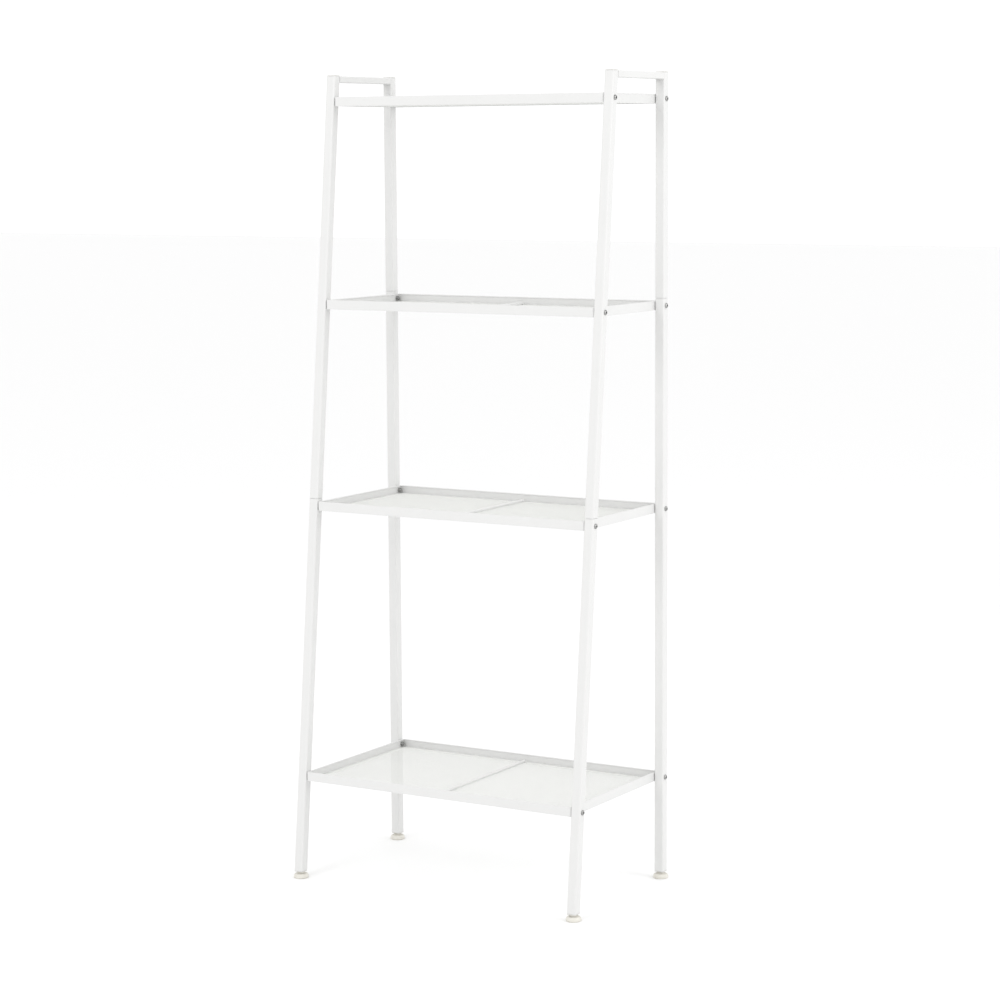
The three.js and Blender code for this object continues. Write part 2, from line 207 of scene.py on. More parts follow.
class Signal:
    """An output socket in a node tree.  Sums on it add Math nodes."""

    def __init__(self, tree, socket=None):
        self.tree, self.socket = tree, socket

    def node(self, kind, settings=None, sockets=None, output=0):
        """Adds a node: its settings first, then the values or links of its sockets."""
        made = self.tree.nodes.new(kind)
        for name, value in (settings or {}).items():
            if name == "stops":
                for stop, (place, colour) in zip(made.color_ramp.elements, value):
                    stop.position, stop.color = place, (*colour, 1)
            else:
                setattr(made, name, value)
        for name, value in (sockets or {}).items():
            if isinstance(value, Signal):
                self.tree.links.new(value.socket, made.inputs[name])
            else:
                made.inputs[name].default_value = value
        return Signal(self.tree, made.outputs[output])

    def math(self, operation, first, second=0.0, clamp=False):
        settings = {"operation": operation, "use_clamp": clamp}
        return self.node("ShaderNodeMath", settings, {0: first, 1: second})

    def __add__(self, other):
        return self.math("ADD", self, other)

    def __sub__(self, other):
        return self.math("SUBTRACT", self, other)

    def __rsub__(self, other):
        return self.math("SUBTRACT", other, self)

    def __mul__(self, other):
        return self.math("MULTIPLY", self, other)

    __radd__, __rmul__ = __add__, __mul__

    def over(self, low, high):
        """0 below low, 1 above high, and straight in between."""
        return self.math("MULTIPLY", self - low, 1 / (high - low), clamp=True)

    def mixed(self, first, second):
        """A colour between two, with this signal as the share of the second."""
        settings = {"data_type": "RGBA"}
        return self.node("ShaderNodeMix", settings, {0: self, 6: first, 7: second}, output=2)


def noise(place, per_metre, detail=2.0, roughness=0.5):
    """A soft random pattern with that many lumps to the metre."""
    sockets = {"Vector": place, "Scale": per_metre, "Detail": detail, "Roughness": roughness}
    return place.node("ShaderNodeTexNoise", None, sockets)


def bump(height, strength, depth):
    """A surface normal tilted by a height pattern, whose full height is `depth` metres."""
    sockets = {"Strength": strength, "Distance": depth, "Height": height}
    return height.node("ShaderNodeBump", None, sockets)


def finish(name, recipe, **same_all_over):
    """A material: `recipe` returns the shader's varying inputs, and the rest are set as plain values."""
    material = bpy.data.materials.new(name)
    material.use_nodes = True
    tree = material.node_tree
    shader = tree.nodes["Principled BSDF"]
    place = Signal(tree).node("ShaderNodeTexCoord", output="Object")
    for socket, value in recipe(place).items():
        tree.links.new(value.socket, shader.inputs[socket])
    for socket, value in same_all_over.items():
        shader.inputs[socket.replace("_", " ")].default_value = value
    return material


# %% [markdown]
# ## White powder coat
#
# Powder is sprayed on dry and melts in an oven.  It never levels fully, so it has an orange peel: lumps
# about a millimetre across and a few microns high, that only show in reflections.  Bumps carry that,
# because as geometry it would take millions of faces.  On top come a faint cloudiness in colour and
# gloss, a few nibs where dust was baked in, and a little scuffing near the floor.

# %% The powder coat's recipe
WHITE = (0.690, 0.690, 0.684, 1)
SHADE_WHITE = (0.656, 0.656, 0.648, 1)
MESH_WHITE = (0.76, 0.765, 0.745, 1)
MESH_SHADE = (0.725, 0.725, 0.71, 1)
SCUFF_HEIGHT = 60 * MM  # scuffs fade out this far above the floor


def powder_coat(tint, shade, peel_per_metre):
    def recipe(place):
        peel = noise(place, peel_per_metre, 2.5)
        ripple = noise(place, peel_per_metre / 5, 1.0)
        cloud = noise(place, 22, 3.0)
        cells = {"Vector": place, "Scale": 160.0, "Randomness": 1.0}
        nib = 1 - place.node("ShaderNodeTexVoronoi", None, cells).over(0.02, 0.075)
        height = place.node("ShaderNodeSeparateXYZ", None, {0: place}, output=2)
        stretched = place.node("ShaderNodeMapping", None, {"Vector": place, "Scale": (9, 9, 1)})
        scratches = noise(stretched, 60, 4)
        scuff = (1 - height.over(0, SCUFF_HEIGHT)) * scratches.over(0.52, 0.68)
        darkening = cloud.over(0.35, 0.8) * 0.35 + scuff * 0.55 + nib * 0.12
        return {
            "Base Color": darkening.mixed(tint, shade),
            "Roughness": cloud * 0.10 + peel * 0.06 + scuff * 0.14 + 0.30,
            "Normal": bump(peel + ripple * 0.6 + nib * 1.6, 0.35, 0.012 * MM),
        }

    return recipe


coat = finish("powder_coat", powder_coat(WHITE, SHADE_WHITE, 900.0), IOR=1.5, Coat_Roughness=0.2)
weld_coat = finish("coated_weld", powder_coat(WHITE, SHADE_WHITE, 1500.0), IOR=1.5)
wire_coat = finish("coated_wire", powder_coat(MESH_WHITE, MESH_SHADE, 2400.0), IOR=1.5)
border_coat = finish("coated_border", powder_coat(MESH_WHITE, MESH_SHADE, 900.0), IOR=1.5)
print("powder coat nodes:", len(coat.node_tree.nodes))

# %% [markdown]
# ## Zinc plate
#
# The bolts and nuts are bright zinc.  Plating grows in small crystals and takes the marks of the die
# under it, so the gloss changes from grain to grain.  The foot studs are zinc with a yellow chromate,
# which drifts between straw and a faint blue-green as its film changes thickness.

# %% Zinc recipes


PAINTED_SHADE_COLOUR = (0.045, 0.043, 0.04, 1)  # painted shade, mixed into the zinc in key sockets and under bolt heads


def zinc_plate(light, dark):
    def recipe(place):
        grain = noise(place, 2600, 3.0)
        film = noise(place, 260, 2.0).over(0.3, 0.7)
        fine = noise(place, 9000, 1.0)
        # painted shade: this attribute turns the zinc near black and rougher in key sockets and where a
        # bolt's head meets the leg
        painted_shade = place.node("ShaderNodeAttribute", {"attribute_name": "painted_shade"}, output=2)
        plated = (film * 0.7 + grain * 0.3).mixed(light, dark)
        return {
            "Base Color": painted_shade.mixed(plated, PAINTED_SHADE_COLOUR),
            "Roughness": grain * 0.22 + film * 0.08 + painted_shade * 0.4 + 0.18,
            "Normal": bump(grain + fine * 0.4, 0.3, 0.01 * MM),
        }

    return recipe


zinc = finish("bright_zinc", zinc_plate((0.42, 0.42, 0.41, 1), (0.26, 0.26, 0.26, 1)), Metallic=1.0)
yellow_zinc = finish("yellow_zinc", zinc_plate((0.66, 0.56, 0.34, 1), (0.48, 0.47, 0.33, 1)), Metallic=1.0)

# %% [markdown]
# ## Moulded plastic
#
# The caps, plugs and foot pads are moulded.  The mould is spark-eroded, which leaves a fine even grain,
# and the plastic is a touch creamier than the coat beside it.

# %% The plastic's recipe


def moulded(tint, shade):
    def recipe(place):
        grain = noise(place, 2200, 3.0, 0.6)
        flow = noise(place, 70, 2.0)
        return {
            "Base Color": flow.over(0.35, 0.75).mixed(tint, shade),
            "Roughness": grain * 0.14 + flow * 0.06 + 0.40,
            "Normal": bump(grain, 0.4, 0.02 * MM),
        }

    return recipe


plastic = finish("white_plastic", moulded((0.70, 0.695, 0.67, 1), (0.65, 0.64, 0.61, 1)), IOR=1.5)
pad_plastic = finish("foot_plastic", moulded((0.71, 0.692, 0.64, 1), (0.64, 0.62, 0.56, 1)), IOR=1.5)

# %% [markdown]
# ## Putting a piece in its place in the model
#
# Each finished piece gets its material, rides on the CAD body that carries it, and stands for the CAD nodes
# it shows.

# %% Place a piece


def place_piece(piece, material, nodes, body="root"):
    piece.data.materials.append(material)
    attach(piece, body)
    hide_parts(*nodes)
    return piece


# %% [markdown]
# ## Leg tubes
#
# Each leg is two lengths of 18 mm square tube with 1.5 mm walls, saw-cut and deburred, joined over a
# hidden spigot.  The skin goes up the outside, over the cut end, down the bore and back, so the wall is
# real at every open end.  The small eased edges catch a line of light at each cut, which is what makes
# the seam in the leg readable.

# %% Sections carried up a leg
TUBE_WALL = 1.5 * MM
TUBE_CORNER = 2.4 * MM
SAW_EDGE = 0.25 * MM  # how far a cut end is eased


def up_the_leg(side, end, size, radius, height):
    """Level sections on a leg's axis: x as in the section, y stretched by the lean and moved to the axis."""
    outline = section(size, size, radius)
    height = np.broadcast_to(np.asarray(height, float), outline.shape[:1])[:, None]
    x = SIDES[side] * LEG_X + outline[..., 0]
    y = leg_axis(end, height) + outline[..., 1] * math.hypot(1, lean_of(end))
    return np.stack([x, y, np.broadcast_to(height, x.shape)], -1)


def tube_piece(name, side, end):
    low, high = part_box(name)
    inset, rise = eased(SAW_EDGE, SAW_EDGE)
    outer = np.concatenate([inset, inset[::-1]])
    height = np.concatenate([low.z + rise, high.z - rise[::-1]])
    outside = up_the_leg(side, end, TUBE - 2 * outer, TUBE_CORNER - outer, height)
    bore = TUBE - 2 * TUBE_WALL
    inside = up_the_leg(side, end, [bore, bore], TUBE_CORNER - TUBE_WALL, [high.z, low.z])
    tube = skin(name + "_skin", np.concatenate([outside, inside]), joined=True)
    return place_piece(tube, coat, [name])


for side in SIDES:
    for name, end in (
        ("upper_front_tube", "front"),
        ("lower_front_leg", "front"),
        ("upper_rear_tube", "rear"),
        ("lower_rear_leg", "rear"),
    ):
        tube_piece(f"{name}_{side}", side, end)
    print(side, "leg tubes made, the last is", round(span(f"{name}_{side}").z / MM), "mm long")

# %% [markdown]
# The spigots inside the seams can't be seen, so their CAD nodes stay as they are and take the coat.

# %% Spigots keep their CAD mesh
for side in SIDES:
    for end in ENDS:
        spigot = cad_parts[f"{end}_spigot_{side}"]
        spigot.data.materials.clear()
        spigot.data.materials.append(coat)
print("spigots in their CAD meshes: 4")

# %% [markdown]
# ## Top rails
#
# The rail is the handle: a flatter tube between the tops of the two legs, flush with their outer faces.
# Its rear end is square and its front end is cut to the lean of the front leg, so the ring of points at
# that end slides forward or back with its height.

# %% Rails between the leg tops
RAIL_WALL = 1.2 * MM
RAIL_CORNER = 1.6 * MM
JOINT_GAP = 0.3 * MM  # between a rail's end and the leg's face


def rail_front(z):
    """The y of the rail's front end at height z: the rear face of the leaning leg, plus the gap."""
    return leg_axis("front", z) + TUBE / 2 * math.hypot(1, LEAN) + JOINT_GAP


def rail_piece(side):
    name = f"top_rail_{side}"
    low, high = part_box(name)
    centre = (low + high) / 2
    inset, back = eased(SAW_EDGE, SAW_EDGE)
    outer = np.concatenate([inset, inset[::-1], [RAIL_WALL, RAIL_WALL]])
    outline = section(TUBE - 2 * outer, high.z - low.z - 2 * outer, RAIL_CORNER - outer)
    z = centre.z + outline[..., 1]
    # rings go from the front end to the rear one outside, and back again inside
    from_end = np.concatenate([back, back[::-1], [0, 0]])[:, None]
    at_front = np.array([True] * len(back) + [False] * len(back) + [False, True])[:, None]
    y = np.where(at_front, rail_front(z) + from_end, high.y - from_end)
    rings = np.stack([centre.x + outline[..., 0], y, z], -1)
    return place_piece(skin(name + "_skin", rings, joined=True), coat, [name])


for side in SIDES:
    rail = rail_piece(side)
    print(rail.name, "is", round(rail.dimensions.y / MM, 1), "mm long")

# %% [markdown]
# ## Welds
#
# A weld bead is a string of overlapping pools, each frozen a moment after the one before.  A round rod
# whose radius swells and dips along its length gives that ripple.  The same rod makes the beads round
# the rails' ends and the short stitches that hold the mesh in its rim; its ends taper to nothing, as a
# bead does where the torch lifts off.

# %% A rod along a path
RIPPLE_PITCH = 1.3 * MM


def rod(path, radius, upright, around=8):
    """Rings round a path: point + radius (cos a . side + sin a . over), with side and over across the path.

    path is (copies, points, 3), radius is one value or one for each point, and upright is any direction
    that the path doesn't run along.
    """
    path = np.asarray(path, float)
    along = np.gradient(path, axis=-2)
    along /= np.linalg.norm(along, axis=-1, keepdims=True)
    beside = np.cross(np.broadcast_to(upright, along.shape), along)
    beside /= np.linalg.norm(beside, axis=-1, keepdims=True)
    over = np.cross(along, beside)
    turn = np.linspace(0, 2 * np.pi, around, endpoint=False)
    wide = np.broadcast_to(radius, path.shape[:-1])[..., None, None]
    swing = np.cos(turn)[:, None] * beside[..., None, :] + np.sin(turn)[:, None] * over[..., None, :]
    return path[..., None, :] + wide * swing


def bead_radius(share, length, radius):
    """Tapered at both ends, with a ripple: radius . root(1 - (2 share - 1)^6) . (1 + 0.12 sin(ripple))."""
    taper = np.sqrt(np.clip(1 - (2 * share - 1) ** 6, 0.02, 1))
    return radius * taper * (1 + 0.12 * np.sin(2 * np.pi * share * length / RIPPLE_PITCH))


# %% Beads round the ends of the rails
RAIL_BEAD = 0.85 * MM
BEAD_SUNK = 0.55 * MM  # how far the bead's middle lies under the tube's face
UNDER_FILLET = 2.6 * MM
FILLET_SHIFT = 0.12  # of its size: how far its middle lies below the rail, and along it


def rail_bead(side, end):
    """A bead over the top, outer, lower and inner edges of a rail's end, as an open loop."""
    low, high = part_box(f"top_rail_{side}")
    outline = section(TUBE - 2 * BEAD_SUNK, high.z - low.z - 2 * BEAD_SUNK, RAIL_CORNER - BEAD_SUNK)[0]
    loop = np.concatenate([outline, outline[:1]])
    step = np.linalg.norm(np.diff(loop, axis=0), axis=1)
    run = np.concatenate([[0], np.cumsum(step)])
    share = np.linspace(0, 1, 150)
    x = np.interp(share * run[-1], run, loop[:, 0]) + SIDES[side] * LEG_X
    z = np.interp(share * run[-1], run, loop[:, 1]) + (low.z + high.z) / 2
    y = rail_front(z) if end == "front" else np.full_like(z, high.y)
    path = np.stack([x, y, z], -1)
    return rod(path, bead_radius(share, run[-1], RAIL_BEAD), (0, 1, 0))


def under_fillet(side, end):
    """A fatter bead in the corner under the rail, across the width of the leg."""
    low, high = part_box(f"top_rail_{side}")
    share = np.linspace(0, 1, 60)
    width = TUBE - 2 * TUBE_CORNER
    x = SIDES[side] * LEG_X + (share - 0.5) * width
    z = np.full_like(x, low.z - UNDER_FILLET * FILLET_SHIFT)
    y = rail_front(z) if end == "front" else np.full_like(z, high.y)
    into_rail = FILLET_SHIFT * UNDER_FILLET * (1 if end == "front" else -1)
    path = np.stack([x, y + into_rail, z], -1)
    return rod(path, bead_radius(share, width, UNDER_FILLET * 0.5), (0, 0, 1), around=12)


for side in SIDES:
    for end in ENDS:
        bead = skin(f"rail_weld_{end}_{side}", rail_bead(side, end), crease=60)
        place_piece(bead, weld_coat, [f"top_rail_{side}"])
        fillet = skin(f"rail_under_weld_{end}_{side}", under_fillet(side, end), crease=60)
        place_piece(fillet, weld_coat, [f"top_rail_{side}"])
print("welds on the rails: 4 beads and 4 fillets")

# %% [markdown]
# ## Caps and plugs
#
# A cap closes each leg at the top: a shallow crowned head over a hollow skirt that grips inside the
# tube.  At the foot a plug does the same and carries the thread for the levelling stud.  The plug's
# outside follows the leaning leg while its bore stands upright, so the rings of the bore are circles at
# one fixed place and the rings outside move with the leg.

# %% Caps on the leg tops
CAP_SKIRT_WALL = 1.4 * MM
PLUG_FIT = 0.35 * MM
PLUG_CORNER = 0.9 * MM
CAP_HEAD = 1.5 * MM
CAP_EDGE = 0.7 * MM
CROWN_RISE = 0.12 * MM
CROWN_SHARE = 0.55  # the crown's flat, as a share of the head's width


def cap_piece(side, end):
    name = f"{end}_top_cap_{side}"
    low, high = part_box(name)
    skirt = TUBE - 2 * (TUBE_WALL + PLUG_FIT)
    room = skirt - 2 * CAP_SKIRT_WALL
    underside = high.z - CAP_HEAD
    inset, fall = eased(CAP_EDGE, CAP_EDGE * 0.8)
    inset, fall = inset[:-1], fall[:-1]  # the head is too thin for the holding ring
    head = TUBE - 2 * inset[::-1]
    size = np.concatenate([[room, room, skirt, skirt, TUBE], head, [TUBE * CROWN_SHARE]])
    corner = np.concatenate([[PLUG_CORNER / 2] * 2, [PLUG_CORNER] * 2, [TUBE_CORNER]])
    corner = np.concatenate([corner, TUBE_CORNER - inset[::-1], [TUBE_CORNER / 2]])
    crown = high.z - CROWN_RISE
    height = [underside, low.z, low.z, underside, underside]
    height = np.concatenate([height, crown - fall[::-1], [high.z]])
    cap = skin(name + "_skin", up_the_leg(side, end, size, corner, height))
    return place_piece(cap, plastic, [name])


for side in SIDES:
    for end in ENDS:
        cap_piece(side, end)
print("caps: head", TUBE / MM, "mm square")

# %% Threaded plugs in the feet
PLUG_FLANGE = 1.2 * MM
PLUG_EDGE = 0.35 * MM
PLUG_BORE = 8.7 * MM
PLUG_LEAD = 1.5 * MM  # the tapered end that starts the plug in the tube
PLUG_TAPER = 1.2 * MM


def plug_piece(side, end):
    name = f"{end}_foot_insert_{side}"
    low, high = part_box(name)
    stud = middle(f"foot_stud_{end}_{side}")
    plug = TUBE - 2 * (TUBE_WALL + PLUG_FIT)
    inset, rise = eased(PLUG_EDGE, PLUG_EDGE)
    inset, rise = inset[:-1], rise[:-1]
    top = low.z + PLUG_FLANGE
    size = np.concatenate([TUBE - 2 * inset, [TUBE, plug, plug, plug - PLUG_TAPER]])
    corner = [TUBE_CORNER, PLUG_CORNER, PLUG_CORNER, PLUG_CORNER / 2]
    corner = np.concatenate([TUBE_CORNER - inset, corner])
    height = np.concatenate([low.z + rise, [top, top, high.z - PLUG_LEAD, high.z]])
    outside = up_the_leg(side, end, size, corner, height)
    circle = section(PLUG_BORE, PLUG_BORE, PLUG_BORE / 2)[0]
    bore = np.stack([stud.x + circle[:, 0], stud.y + circle[:, 1], 0 * circle[:, 0]], -1)
    bore = bore + np.array([[[0, 0, high.z]], [[0, 0, low.z]]])
    plug = skin(name + "_skin", np.concatenate([outside, bore]), joined=True)
    return place_piece(plug, plastic, [name])


for side in SIDES:
    for end in ENDS:
        plug = plug_piece(side, end)
print(plug.name, "bore", PLUG_BORE / MM, "mm")

# %% [markdown]
# ## Turned pieces: rings of changing radius
#
# Bolts, nuts, studs and pads are all turned about an axis.  A station is a radius and a height, with two
# extras.  `six` blends the ring from a circle to a hexagon whose flats are at that radius, which makes
# the key socket, the nut and the collar.  `limit` cuts the ring back to a cone, and where a cone meets a
# hexagon it leaves the curved chamfer that every real nut has at its corners.

# %% Rings about an axis
AROUND = 36  # a multiple of six, so that each corner of a hexagon falls on a point


def turned(radius, height, six=0.0, limit=np.inf, twist=0.0):
    """Rings about Z: r . (1 + six (1 / cos(turn from the middle of the flat) - 1)), and no more than limit.

    Each argument is one value or one for each ring; the result is (rings, points, 3).
    """
    radius, height, six, limit = np.broadcast_arrays(np.asarray(radius, float), height, six, limit)
    turn = np.linspace(0, 2 * np.pi, AROUND, endpoint=False)
    off_flat = np.mod(turn, np.pi / 3) - np.pi / 6
    out = radius[:, None] * (1 + six[:, None] * (1 / np.cos(off_flat) - 1))
    out = np.minimum(out, limit[:, None])
    x, y = out * np.cos(turn + twist), out * np.sin(turn + twist)
    return np.stack([x, y, np.broadcast_to(height[:, None], x.shape)], -1)


def threaded(radius, pitch, low, high, rows_a_turn=8):
    """A screw thread: the radius dips by 0.6 pitch where the height, less the helix, is between crests."""
    rows = int(round((high - low) / pitch * rows_a_turn)) + 1
    height = np.linspace(low, high, rows)
    turn = np.linspace(0, 2 * np.pi, AROUND, endpoint=False)
    phase = np.mod(height[:, None] / pitch - turn / (2 * np.pi), 1)
    dip = np.clip(np.abs(2 * phase - 1) * 1.25 - 0.125, 0, 1)
    run_out = np.clip(np.minimum(height - low, high - height) / pitch, 0, 1)[:, None]
    out = radius - 0.6 * pitch * (1 - (1 - dip) * run_out)
    level = np.broadcast_to(height[:, None], out.shape)
    return np.stack([out * np.cos(turn), out * np.sin(turn), level], -1)


# %% [markdown]
# ## Feet
#
# A foot is a domed plastic pad with a threaded stud in it.  A spanner turns it by the hexagon collar,
# which is moulded on the stud just above the pad.  The pad's underside is a ring, because a full disc
# rocks on any grit under it.  The thread is a surface like any other: the radius at a place depends on
# the height less the turn times the pitch.

# %% Pads, studs and collars
STUD_RADIUS = 4.0 * MM
STUD_PITCH = 1.25 * MM
STUD_BORE = 4.35 * MM
COLLAR_FLAT = 6.5 * MM
COLLAR_HEIGHT = 2.5 * MM
PAD_CROWN = 8.0 * MM
PAD_SKIRT = 2.2 * MM  # height of the pad's widest line
PAD_RECESS = 0.5 * MM
DOME_ROWS = 12


def pad_rings(low, high):
    edge = (high.x - low.x) / 2
    top = high.z - low.z
    turn = np.linspace(0, np.pi / 2, DOME_ROWS)
    dome_r = PAD_CROWN + (edge - PAD_CROWN) * np.cos(turn).clip(0) ** 0.75
    dome_z = PAD_SKIRT + (top - PAD_SKIRT) * np.sin(turn)
    floor = top - 5 * MM
    radius = np.array([2, 8.6, 9.4, 12.4, 12.8, 13.55, 13.6, 14.0]) * MM * edge / (14 * MM)
    height = np.array([PAD_RECESS, PAD_RECESS, 0, 0, 0.1 * MM, 1.2 * MM, 1.5 * MM, 1.55 * MM])
    well_r = np.array([STUD_BORE + 0.5 * MM, STUD_BORE, STUD_BORE, 1 * MM])
    well_z = np.array([top, top - 0.5 * MM, floor, floor])
    return turned(np.concatenate([radius, dome_r, well_r]), np.concatenate([height, dome_z, well_z]))


def stud_rings(low, high, collar_top):
    shank = turned([3.3 * MM, STUD_RADIUS, STUD_RADIUS], [low.z, low.z + 0.6 * MM, collar_top])
    thread = threaded(STUD_RADIUS, STUD_PITCH, collar_top + 0.1 * MM, high.z - 0.8 * MM)
    tip = turned([3.1 * MM, 2.4 * MM], [high.z - 0.4 * MM, high.z])
    return np.concatenate([shank, thread, tip])


def collar_rings(bottom):
    """Round the wall of the collar: a hexagon that a cone chamfers above and below, over a round bore."""
    rise = np.array([0, 0, 0.2, 0.45, 0.8]) * MM
    limit = np.array([0.96, 0.98, 1.05, 1.12, 1.2]) * COLLAR_FLAT
    lower = turned(COLLAR_FLAT, bottom + rise, 1.0, limit)
    upper = turned(COLLAR_FLAT, bottom + COLLAR_HEIGHT - rise[::-1], 1.0, limit[::-1])
    bore = turned(STUD_RADIUS + 0.02 * MM, bottom + np.array([COLLAR_HEIGHT, 0]))
    return np.concatenate([lower, upper, bore])


for side in SIDES:
    for end in ENDS:
        body = f"foot_{end}_{side}"
        node = f"foot_pad_{end}_{side}"
        low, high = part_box(node)
        centre = np.array([(low.x + high.x) / 2, (low.y + high.y) / 2, 0])
        pad = skin(f"pad_{end}_{side}", pad_rings(low, high) + centre + [0, 0, low.z])
        place_piece(pad, pad_plastic, [node], body)
        node = f"foot_stud_{end}_{side}"
        stud = skin(f"stud_{end}_{side}", stud_rings(*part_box(node), high.z + COLLAR_HEIGHT) + centre)
        place_piece(stud, yellow_zinc, [node], body)
        collar = skin(f"collar_{end}_{side}", collar_rings(high.z) + centre, joined=True, crease=25)
        place_piece(collar, pad_plastic, [node], body)
print("pads", round(pad.dimensions.x / MM, 1), "mm across")
print("studs", round(stud.dimensions.z / MM, 1), "mm long")

# %% [markdown]
# ## Bolts and nuts
#
# Each tray hangs on four M5 button-head bolts that run sideways through the leg and the rim.  They are
# turned about Z like the studs and then laid down: the right-hand ones by taking (x, y, z) to (z, x, y),
# the left-hand ones by the same move and half a turn.  Both are rotations, so the threads stay
# right-handed, which a mirror would not do.

# %% A bolt and a nut about their own axis
HEAD_RADIUS = 4.75 * MM
HEAD_HEIGHT = 2.75 * MM
HEAD_RIM = 0.25 * MM  # the straight edge under the dome
DOME_END = 1.08  # radians up the dome, where it meets the socket
SHANK_RADIUS = 2.5 * MM
BOLT_PITCH = 0.8 * MM
KEY_FLAT = 1.5 * MM
KEY_DEPTH = 1.6 * MM
THREAD_RUN = 7.5 * MM
NUT_FLAT = 4.0 * MM
NUT_HEIGHT = 4.0 * MM
BOLT_PROUD = 1.5 * MM


def bolt_rings(end, turn):
    """From the shank's tip at `end` up to the head, over its dome, and down into the key socket."""
    thread = threaded(SHANK_RADIUS, BOLT_PITCH, end + 0.3 * MM, end + THREAD_RUN)
    tip = turned([1.5 * MM, 1.9 * MM], [end, end])
    shank_r = SHANK_RADIUS * np.array([0.94, 0.98, 1.1])
    shank = turned(shank_r, [end + THREAD_RUN + 0.1 * MM, -0.35 * MM, 0])
    dome = np.linspace(0.12, DOME_END, 12)
    dome_r = np.concatenate([[HEAD_RADIUS * 0.94], HEAD_RADIUS * np.cos(dome), [2.05 * MM]])
    rise = HEAD_HEIGHT - HEAD_RIM
    dome_z = np.concatenate([[0], HEAD_RIM + rise * np.sin(dome) / np.sin(DOME_END), [HEAD_HEIGHT]])
    head = turned(dome_r, dome_z)
    deep = HEAD_HEIGHT - np.array([0, 0.3, 1.0, 1.0]) * KEY_DEPTH
    socket_r = np.array([1.16, 1.0, 1.0, 0.9]) * KEY_FLAT
    socket = turned(socket_r, deep, [0.4, 1, 1, 1], twist=turn)
    drill_point = turned([0.35 * MM], [HEAD_HEIGHT - KEY_DEPTH - 0.4 * MM])
    rings = np.concatenate([tip, thread, shank, head, socket, drill_point])
    # Painted shade: the key socket and its drill point are darkened in the colour, and so is the line where
    # the head meets the leg.
    painted_shade = np.zeros(len(rings))
    painted_shade[-4:] = [0.5, 1, 1, 1]
    painted_shade[len(tip) + len(thread) + len(shank)] = 0.6  # painted shade on the line where the head meets the leg
    return rings, painted_shade


def nut_rings(low):
    """Round the wall of a nut: its lower face, the chamfered hexagon, its upper face and the bore."""
    rise = np.array([0, 0, 0.25, 0.55, 1.2]) * MM
    limit = np.array([0.96, 0.97, 1.04, 1.12, 1.2]) * NUT_FLAT
    lower = turned(NUT_FLAT, low + rise, 1.0, limit)
    upper = turned(NUT_FLAT, low + NUT_HEIGHT - rise[::-1], 1.0, limit[::-1])
    bore_z = low + np.array([NUT_HEIGHT, NUT_HEIGHT - 0.4 * MM, 0.4 * MM, 0])
    bore = turned(np.array([2.85, 2.52, 2.52, 2.85]) * MM, bore_z)
    return np.concatenate([lower, upper, bore])


def laid_down(rings, side, head_face, y, z):
    """Turns the axis from Z to X, pointing outwards, with the head's underside at x = head_face."""
    way = SIDES[side]
    x, along_y, along_z = rings[..., 2], rings[..., 0], rings[..., 1]
    return np.stack([head_face + way * x, y + way * along_y, z + along_z], -1)


# %% Sixteen bolts, sixteen nuts
for shelf in SHELVES:
    for number, (side, end) in enumerate((s, e) for s in SIDES for e in ENDS):
        node = f"shelf_{shelf}_bolt_{end}_{side}"
        low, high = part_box(node)
        centre = (low + high) / 2
        outer = high.x if side == "right" else low.x
        head_face = outer - SIDES[side] * HEAD_HEIGHT
        length = high.x - low.x - HEAD_HEIGHT
        key_turn = 0.7 * shelf + 1.9 * number  # no two keys stop at the same angle
        where = (side, head_face, centre.y, centre.z)
        rings, painted_shade = bolt_rings(-length, key_turn)
        bolt = skin(f"bolt_{shelf}_{end}_{side}", laid_down(rings, *where), crease=40, painted_shade=painted_shade)
        place_piece(bolt, zinc, [node])
        rings = nut_rings(-length + BOLT_PROUD)
        nut = skin(f"nut_{shelf}_{end}_{side}", laid_down(rings, *where), joined=True, crease=25)
        place_piece(nut, zinc, [node])
print("a bolt is", round(bolt.dimensions.x / MM, 2), "mm long with", len(bolt.data.polygons), "faces")

# %% [markdown]
# ## Tray rims
#
# The rim is a 17 mm strip bent into a ring and welded shut.  Its top edge is rolled inwards into a hem,
# which stiffens it and leaves no sharp edge to touch.  The section is drawn once, as pairs of depth in
# from the outer face and height, and each pair becomes a rounded rectangle that much smaller.  The
# corner's radius shrinks by the same depth, so the wall keeps its thickness round the bend.

# %% Rims with a rolled hem
RIM_WALL = 1.5 * MM
HEM_RADIUS = 1.35 * MM
STRIP_EDGE = 0.25 * MM
SMALLEST_BEND = 0.35 * MM
RIM_BEND = 3.6 * MM  # radius of the outer face at a corner


def ring_of(low, high, depth, height, radius):
    """Rounded rectangles inside a box, each `depth` in from its sides and at its own height."""
    depth, height = np.broadcast_arrays(np.asarray(depth, float), height)
    bend = np.maximum(radius - depth, SMALLEST_BEND)
    outline = section(high.x - low.x - 2 * depth, high.y - low.y - 2 * depth, bend)
    x = outline[..., 0] + (low.x + high.x) / 2
    y = outline[..., 1] + (low.y + high.y) / 2
    return np.stack([x, y, np.broadcast_to(height[:, None], x.shape)], -1)


def rim_section(bottom, top):
    """Depth and height round the rim's section: up the outer face, over the hem, down the inner face."""
    over = np.radians(np.linspace(180, -55, 14))
    hem_d = HEM_RADIUS + HEM_RADIUS * np.cos(over)
    hem_z = top - HEM_RADIUS + HEM_RADIUS * np.sin(over)
    inset, rise = eased(STRIP_EDGE, STRIP_EDGE, 2)
    under_hem = top - 2 * HEM_RADIUS - 0.25 * MM
    depth = np.concatenate([inset, hem_d, [RIM_WALL, RIM_WALL], RIM_WALL - inset[::-1]])
    height = np.concatenate([bottom + rise, hem_z, [under_hem, bottom + 1 * MM], bottom + rise[::-1]])
    return depth, height


